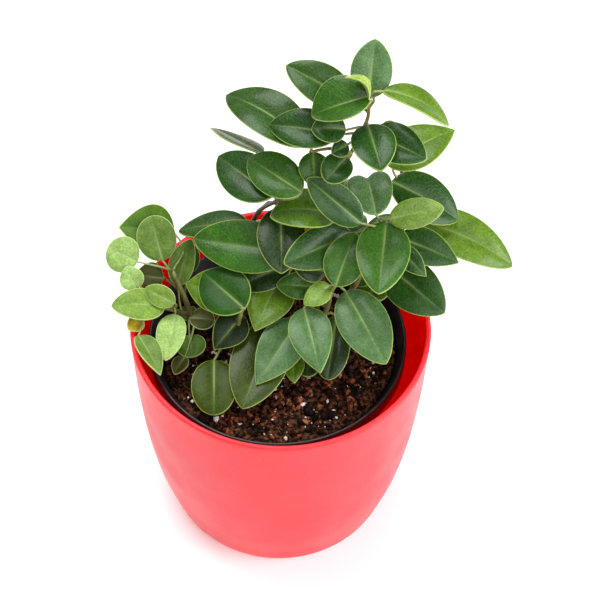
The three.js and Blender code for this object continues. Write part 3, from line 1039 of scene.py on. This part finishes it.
TALL = (
    Shoot(1.7, rooted(14, 18, (18, 27, 125), (21, 32, 158), (27, 31, 181), (31, 30, 197), (31, 30, 206)), (
        Leaf(1, (31, 33, 204), (33, 50, 218), 16, (0, -3, 4), 0, 10, BLUISH_SHEEN),
        Leaf(0.95, (25, 35, 199), (0, 45, 208), 16, (0, -2, 4), 2, 10, MEDIUM),
        Leaf(0.97, (32, 30, 208), (10, 27, 200), 22, (0, -1, 6), 1, 28, GREEN),
        Leaf(1, (31, 27, 210), (22, 32, 216), 9, (7, 2, 5), 3, 15, YOUNG),
        Leaf(1, (36, 31, 210), (61, 24, 200), 15, (0, 1, 4), 3, 10, LIGHT),
        Leaf(0.88, (32, 28, 190), (53, 15, 191), 16, (0, -2, 4), 1, 10, DEEP),
        Leaf(0.92, (31, 27, 196), (36, 6, 194), 17, (0, -1, 4), 1, 10, DEEP),
        Leaf(0.86, (20, 29, 188), (-6, 34, 187), 16, (0, -2, 4), 2, 10, DEEP),
        Leaf(0.89, (23, 27, 193), (10, 27, 193), 12, (0, -2, 4), 1, 10, DEEP),
        Leaf(0.85, (36, 35, 184), (44, 36, 183), 8, (0, -2, 4), 1, 10, BROWN),
        Leaf(0.83, (24, 27, 185), (18, 23, 184), 7, (0, -3, 4), 0, 10, DEEP),
        Leaf(0.76, (24, 27, 178), (16, 17, 175), 12, (0, -2, 4), 1, 10, DEEP, ROUND),
        Leaf(0.58, (20, 20, 151), (-5, 18, 153), 20, (0, 0, 4), 4, 8, FRESH),
        Leaf(0.47, (23, 36, 140), (25, 52, 137), 14, (0, 1, 4), 2, 8, GREEN),
        Leaf(0.56, (20, 38, 149), (12, 54, 144), 14, (0, 1, 4), 2, 8, GREEN),
        Leaf(0.36, (16, 32, 126), (9, 53, 120), 17, (0, 1, 4), 2, 8, GREEN),
        Leaf(0.3, (22, 30, 120), (30, 53, 116), 17, (0, 1, 4), 2, 8, GREEN),
    ), taper=0.75),
    Shoot(0.9, ((18, 31, 178), (10, 30, 177)), (
        Leaf(1, (9, 31, 180), (-23, 52, 184), 20, (0, -1, 4), 5, 12, MEDIUM),
        Leaf(1, (11, 31, 176), (12, 21, 167), 12, (0, -3, 4), 1, 10, GREEN),
    ), 0.765),
    Shoot(0.9, ((10, 37, 156), (-1, 40, 160)), (
        Leaf(1, (-9, 41, 163), (-30, 61, 156), 14, (3, 2, 6), 0, 10, OLIVE, POINTED),
    ), 0.59),
    Shoot(1.2, ((14, 18, 119), (9, 12, 135)), (
        Leaf(1, (3, 11, 139), (-35, 19, 137), 21, (0, -3, 4), 1, 8, GREEN),
        Leaf(0.75, (3, 14, 128), (-17, 7, 122), 14, (0, -2, 4), 2, 8, SHADE),
        Leaf(0.6, (-1, 14, 119), (-10, -10, 116), 19, (0, -2, 4), 2, 8, LIGHT, POINTED),
    ), 0.21),
)

RIGHT = (
    Shoot(1.6, rooted(20, 8, (30, 14, 120), (38, 20, 150)), (
        Leaf(1, (36, 18, 155), (32, 37, 157), 18, (0, -2, 4), 2, 14, BLUISH_SHEEN, HEART),
        Leaf(1, (41, 16, 155), (62, 20, 158), 12, (0, -3, 4), 1, 10, LIME),
        Leaf(0.97, (30, 12, 157), (9, 21, 172), 14, (0, -3, 4), 1, 10, DEEP),
        Leaf(0.94, (27, 19, 142), (1, 0, 146), 17, (0, -3, 4), 1, 8, DEEP),
        Leaf(1, (40, 17, 152), (37, -15, 148), 21, (0, -1, 4), 1, 8, GREEN),
        Leaf(0.88, (45, 18, 142), (69, 9, 138), 15, (0, -2, 4), 1, 8, DEEP, POINTED),
        Leaf(0.88, (45, 12, 143), (56, 1, 139), 9, (0, -3, 4), 1, 8, DEEP, POINTED),
        Leaf(0.86, (50, 34, 134), (92, 21, 122), 20, (0, -1, 4), 6, 6, LIGHT),
        Leaf(0.7, (41, 14, 130), (64, -5, 124), 20, (0, -3, 4), 1, 6, DEEP),
        Leaf(0.6, (36, 26, 122), (47, 45, 124), 16, (0, 1, 4), 2, 8, GREEN),
        Leaf(0.4, (30, 20, 108), (44, 36, 112), 15, (0, 1, 4), 2, 8, GREEN),
        Leaf(0.33, (32, 16, 103), (44, 25, 103), 14, (0, 1, 4), 1, 8, FRESH),
    )),
    Shoot(1.1, ((46, 30, 142), (47, 38, 149), (45, 44, 157), (42, 40, 165)), (
        Leaf(1, (40, 33, 167), (66, 48, 172), 19, (0, -1, 5), 2, 8, LIGHT, POINTED),
        Leaf(0.4, (42, 37, 153), (69, 29, 140), 20, (0, -1, 4), 2, 8, DEEP),
        Leaf(0.6, (42, 43, 157), (52, 57, 153), 13, (0, 1, 4), 2, 8, GREEN),
    ), 0.9),
)

FRONT = (
    Shoot(1.5, rooted(12, 0, (17, 1, 112), (20, 2, 130)), (
        Leaf(1, (21, -4, 138), (28, 15, 148), 16, (0, -3, 4), 1, 8, GREEN),
        Leaf(1, (19, 1, 132), (9, -7, 130), 9, (0, -3, 4), 1, 12, LIME),
        Leaf(1, (25, 0, 130), (41, -28, 121), 20, (0, -2, 4), 1, 6, BLUISH_SHEEN),
        Leaf(0.85, (9, -4, 124), (16, -31, 118), 17, (0, -2, 4), 1, 6, BLUISH_SHEEN, POINTED),
        Leaf(0.95, (14, 5, 126), (-2, 4, 128), 11, (0, -3, 4), 2, 8, GREEN),
        Leaf(0.7, (22, 1, 112), (19, -24, 104), 14, (0, -2, 4), 1, 6, SHADE, ROUND),
        Leaf(0.5, (-3, -1, 108), (-14, -36, 100), 23, (0, -2, 4), 1, 6, OLIVE),
        Leaf(0.55, (12, -4, 102), (11, -20, 100), 11, (0, -2, 4), 0, 6, SHADE, ROUND),
        Leaf(0.8, (7, -2, 113), (-9, -28, 105), 18, (0, -3, 4), 1, 6, BLUISH_SHEEN, POINTED),
        Leaf(0.6, (5, -11, 103), (6, -24, 101), 9, (0, -3, 4), 0, 10, LIGHT, POINTED),
        Leaf(0.98, (17, 5, 136), (5, 4, 139), 10, (0, -3, 4), 1, 8, SHADE),
        Leaf(0.42, (-6, 2, 104), (-12, -7, 103), 9, (0, -2, 4), 0, 8, LIGHT),
    )),
)

LEFT = (
    Shoot(1.3, rooted(-18, -6, (-17, -6, 112), (-15, -7, 127)), (
        Leaf(1, (-14, -7, 126), (-31, 10, 127), 20, (0, -2, 4), 1, 6, DEEP),
        Leaf(0.9, (-18, 3, 122), (-38, 8, 122), 18, (0, -2, 4), 1, 6, LIGHT, POINTED),
        Leaf(0.75, (-15, -2, 116), (-26, -15, 110), 14, (0, -3, 4), 1, 6, DARK, POINTED),
        Leaf(0.45, (-26, -15, 103), (-25, -38, 98), 18, (0, -2, 4), 1, 6, OLIVE, ROUND),
    )),
)

BACK = (
    Shoot(1.4, rooted(-16, 12, (-15, 24, 126), (-10, 26, 145), (-2, 20, 160)), (
        Leaf(1, (-4, 21, 161), (-26, 42, 160), 19, (0, -2, 3), 1, 8, DEEP),
        Leaf(1, (7, 19, 166), (-14, 36, 166), 17, (0, -5, 8), 2, 8, GREEN),
        Leaf(0.82, (-1, 25, 150), (0, 0, 140), 19, (0, -2, 4), 1, 6, SHADE),
        Leaf(0.72, (-14, 28, 136), (-42, 31, 127), 14, (0, 0, 4), 1, 8, MEDIUM),
        Leaf(0.5, (-18, 24, 116), (-25, 44, 112), 16, (0, 1, 4), 2, 8, GREEN),
        Leaf(0.35, (-16, 20, 104), (-22, 38, 102), 14, (0, 1, 4), 2, 8, GREEN),
        Leaf(0.55, (-10, 26, 120), (-4, 48, 115), 17, (0, 1, 4), 2, 8, GREEN),
    )),
)

YOUNGEST = (
    Shoot(1.5, rooted(-37, 12, (-39, 14, 105), (-44, 20, 115)), (
        Leaf(0.46, (-42, 18, 108), (-37, 32, 121), 13, (-1, -3, 4), 0, 35, MATT),
        Leaf(1, (-48, 22, 119), (-53, 36, 130), 16, (0, -3, 4), 0, 5, MATT, ROUND),
        Leaf(1, (-44, 36, 120), (-66, 33, 126), 21, (0, -2, 4), 1, 10, FRESH, POINTED),
        Leaf(1, (-58, 21, 119), (-70, 25, 123), 15, (0, -3, 4), 0, 5, PALE, ROUND),
        Leaf(0.6, (-39, 27, 105), (-36, 34, 115), 8, (0, -3, 4), 0, 5, GREEN),
        Leaf(0.5, (-37, 10, 97), (-27, 9, 97), 11, (0, 0, 4), 0, 5, BROWN, ROUND),
        Leaf(0.45, (-38, 11, 94), (-39, 18, 95), 8, (0, -3, 4), 0, 5, GREEN, ROUND),
        Leaf(0.5, (-37, 3, 95), (-35, -8, 95), 12, (0, -2, 4), 0, 5, FRESH, ROUND),
        Leaf(0.46, (-38, -8, 95), (-42, -16, 94), 7, (0, -1, 4), 0, 20, BROWN),
    )),
    Shoot(1.0, ((-41, 8, 103), (-43, 4, 112)), (
        Leaf(1, (-46, 3, 114), (-67, 0, 117), 14, (0, -1, 4), 1, 8, LIME),
        Leaf(1, (-42, 2, 117), (-54, 8, 119), 9, (0, -3, 4), 1, 8, LIME),
        Leaf(1, (-42, 2, 110), (-45, -18, 106), 12, (0, -2, 4), 1, 12, PALE),
        Leaf(0.6, (-56, -10, 111), (-46, -28, 110), 11, (1, 0, 3), 0, 25, MATT, POINTED),
        Leaf(0.8, (-55, -1, 110), (-60, -7, 111), 7, (0, -2, 4), 0, 5, YELLOW),
        Leaf(0.9, (-58, 10, 115), (-62, 17, 121), 10, (0, -3, 4), 0, 8, PALE),
    ), 0.55),
    Shoot(0.9, ((-42, 19, 104), (-48, 22, 108)), (
        Leaf(1, (-48, 20, 110), (-59, 20, 112), 12, (0, -3, 4), 0, 5, BROWN),
    ), 0.6),
)

WOODY, GREENISH = paint(104, 84, 52), paint(136, 150, 78)
STEMS = (
    LeafyStem("stem_tall", "tall_foliage", TALL, WOODY, paint(150, 120, 72), GLOSSY),
    LeafyStem("stem_right", "right_foliage", RIGHT, WOODY, paint(150, 152, 86), GLOSSY),
    LeafyStem("stem_back", "back_foliage", BACK, paint(72, 56, 36), paint(90, 78, 46), GLOSSY),
    LeafyStem("stem_front", "front_foliage", FRONT, WOODY, GREENISH, SATIN),
    LeafyStem("stem_left", "left_foliage", LEFT, WOODY, GREENISH, DULL),
    LeafyStem(
        "plantlet", "plantlet_foliage", YOUNGEST, paint(88, 72, 42), paint(132, 144, 78), SOFT,
        petiole_radius=0.5,
    ),
)


@dataclass(frozen=True)
class Lamp:
    """A large square lamp: its name, its place and its side in metres, and its power in watts."""

    AIM = Vector((0, 0, 0.1))

    name: str
    place: Point
    size: float
    power: float

    def hang(self) -> None:
        """Hangs the lamp so that it faces the plant."""
        data = bpy.data.lights.new(self.name, "AREA")
        data.shape = "SQUARE"
        data.size = self.size
        data.energy = self.power
        lamp = show(self.name, data)
        lamp.location = self.place
        lamp.rotation_mode = "QUATERNION"
        lamp.rotation_quaternion = (self.AIM - lamp.location).to_track_quat("-Z", "Y")


LAMPS = (
    Lamp("overhead", (-0.3, 0.45, 1.7), 1.1, 28),
    Lamp("front", (0.7, -1.4, 1.6), 1.6, 24),
    Lamp("right", (1.7, -0.4, 0.8), 1.0, 26),
)


@dataclass
class Studio:
    """A plain pale floor, soft light from large lamps, and the camera."""

    target: Point = (7.4, 12.2, 108)
    distance: float = 804
    elevation: float = 52.1
    roll: float = 1.4
    focus_px: float = 2000
    sensor: float = 36
    floor_half: float = 4
    floor_colour: Colour = (0.95, 0.95, 0.96, 1)
    floor_glow: Colour = (0.9, 1.0, 1.0, 1)
    sky_colour: Colour = (0.97, 0.98, 1.0, 1)
    sky_strength: float = 0.42

    def floor(self) -> None:
        """Lays the floor."""
        plane = bmesh.new()
        bmesh.ops.create_grid(plane, x_segments=1, y_segments=1, size=self.floor_half)
        mesh = settle(plane, "floor")
        look = Shading("pale_floor")
        look.give(Base_Color=self.floor_colour, Roughness=0.7)
        look.give(Emission_Color=self.floor_glow, Emission_Strength=0.14)
        mesh.materials.append(look.material)
        floor = show("floor", mesh)

    def sky(self) -> None:
        """Lights the room evenly."""
        world = bpy.data.worlds.new("studio")
        world.use_nodes = True
        back = world.node_tree.nodes["Background"]
        back.inputs["Color"].default_value = self.sky_colour
        back.inputs["Strength"].default_value = self.sky_strength
        bpy.context.scene.world = world

    def camera(self) -> None:
        """Sets the camera up."""
        tilt = math.radians(self.elevation)
        back = Vector((0, -math.cos(tilt), math.sin(tilt)))
        right = Vector((1, 0, 0))
        up = back.cross(right)
        turn = math.radians(self.roll)
        across = right * math.cos(turn) + up * math.sin(turn)
        upward = up * math.cos(turn) - right * math.sin(turn)
        data = bpy.data.cameras.new("view")
        data.sensor_width = self.sensor
        data.lens = self.sensor * self.focus_px / PHOTO_SIDE
        data.clip_start, data.clip_end = 0.01, 50
        camera = show("view", data)
        stand = Matrix.Translation((Vector(self.target) + back * self.distance) * MM)
        camera.matrix_world = stand @ Matrix((across, upward, back)).transposed().to_4x4()
        bpy.context.scene.camera = camera

    def build(self) -> None:
        """Sets the studio up."""
        bpy.context.scene.view_settings.view_transform = "Standard"
        self.floor()
        self.camera()
        self.sky()
        for lamp in LAMPS:
            lamp.hang()


def main() -> None:
    """Builds the studio and the parts in order."""
    logging.basicConfig(level=logging.INFO, format="%(name)s: %(message)s")
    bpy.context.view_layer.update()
    Studio().build()
    for part in (OuterPot(), NurseryPot(), PottingSoil(), *STEMS):
        part.build()
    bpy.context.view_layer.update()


if __name__ == "__main__":
    main()
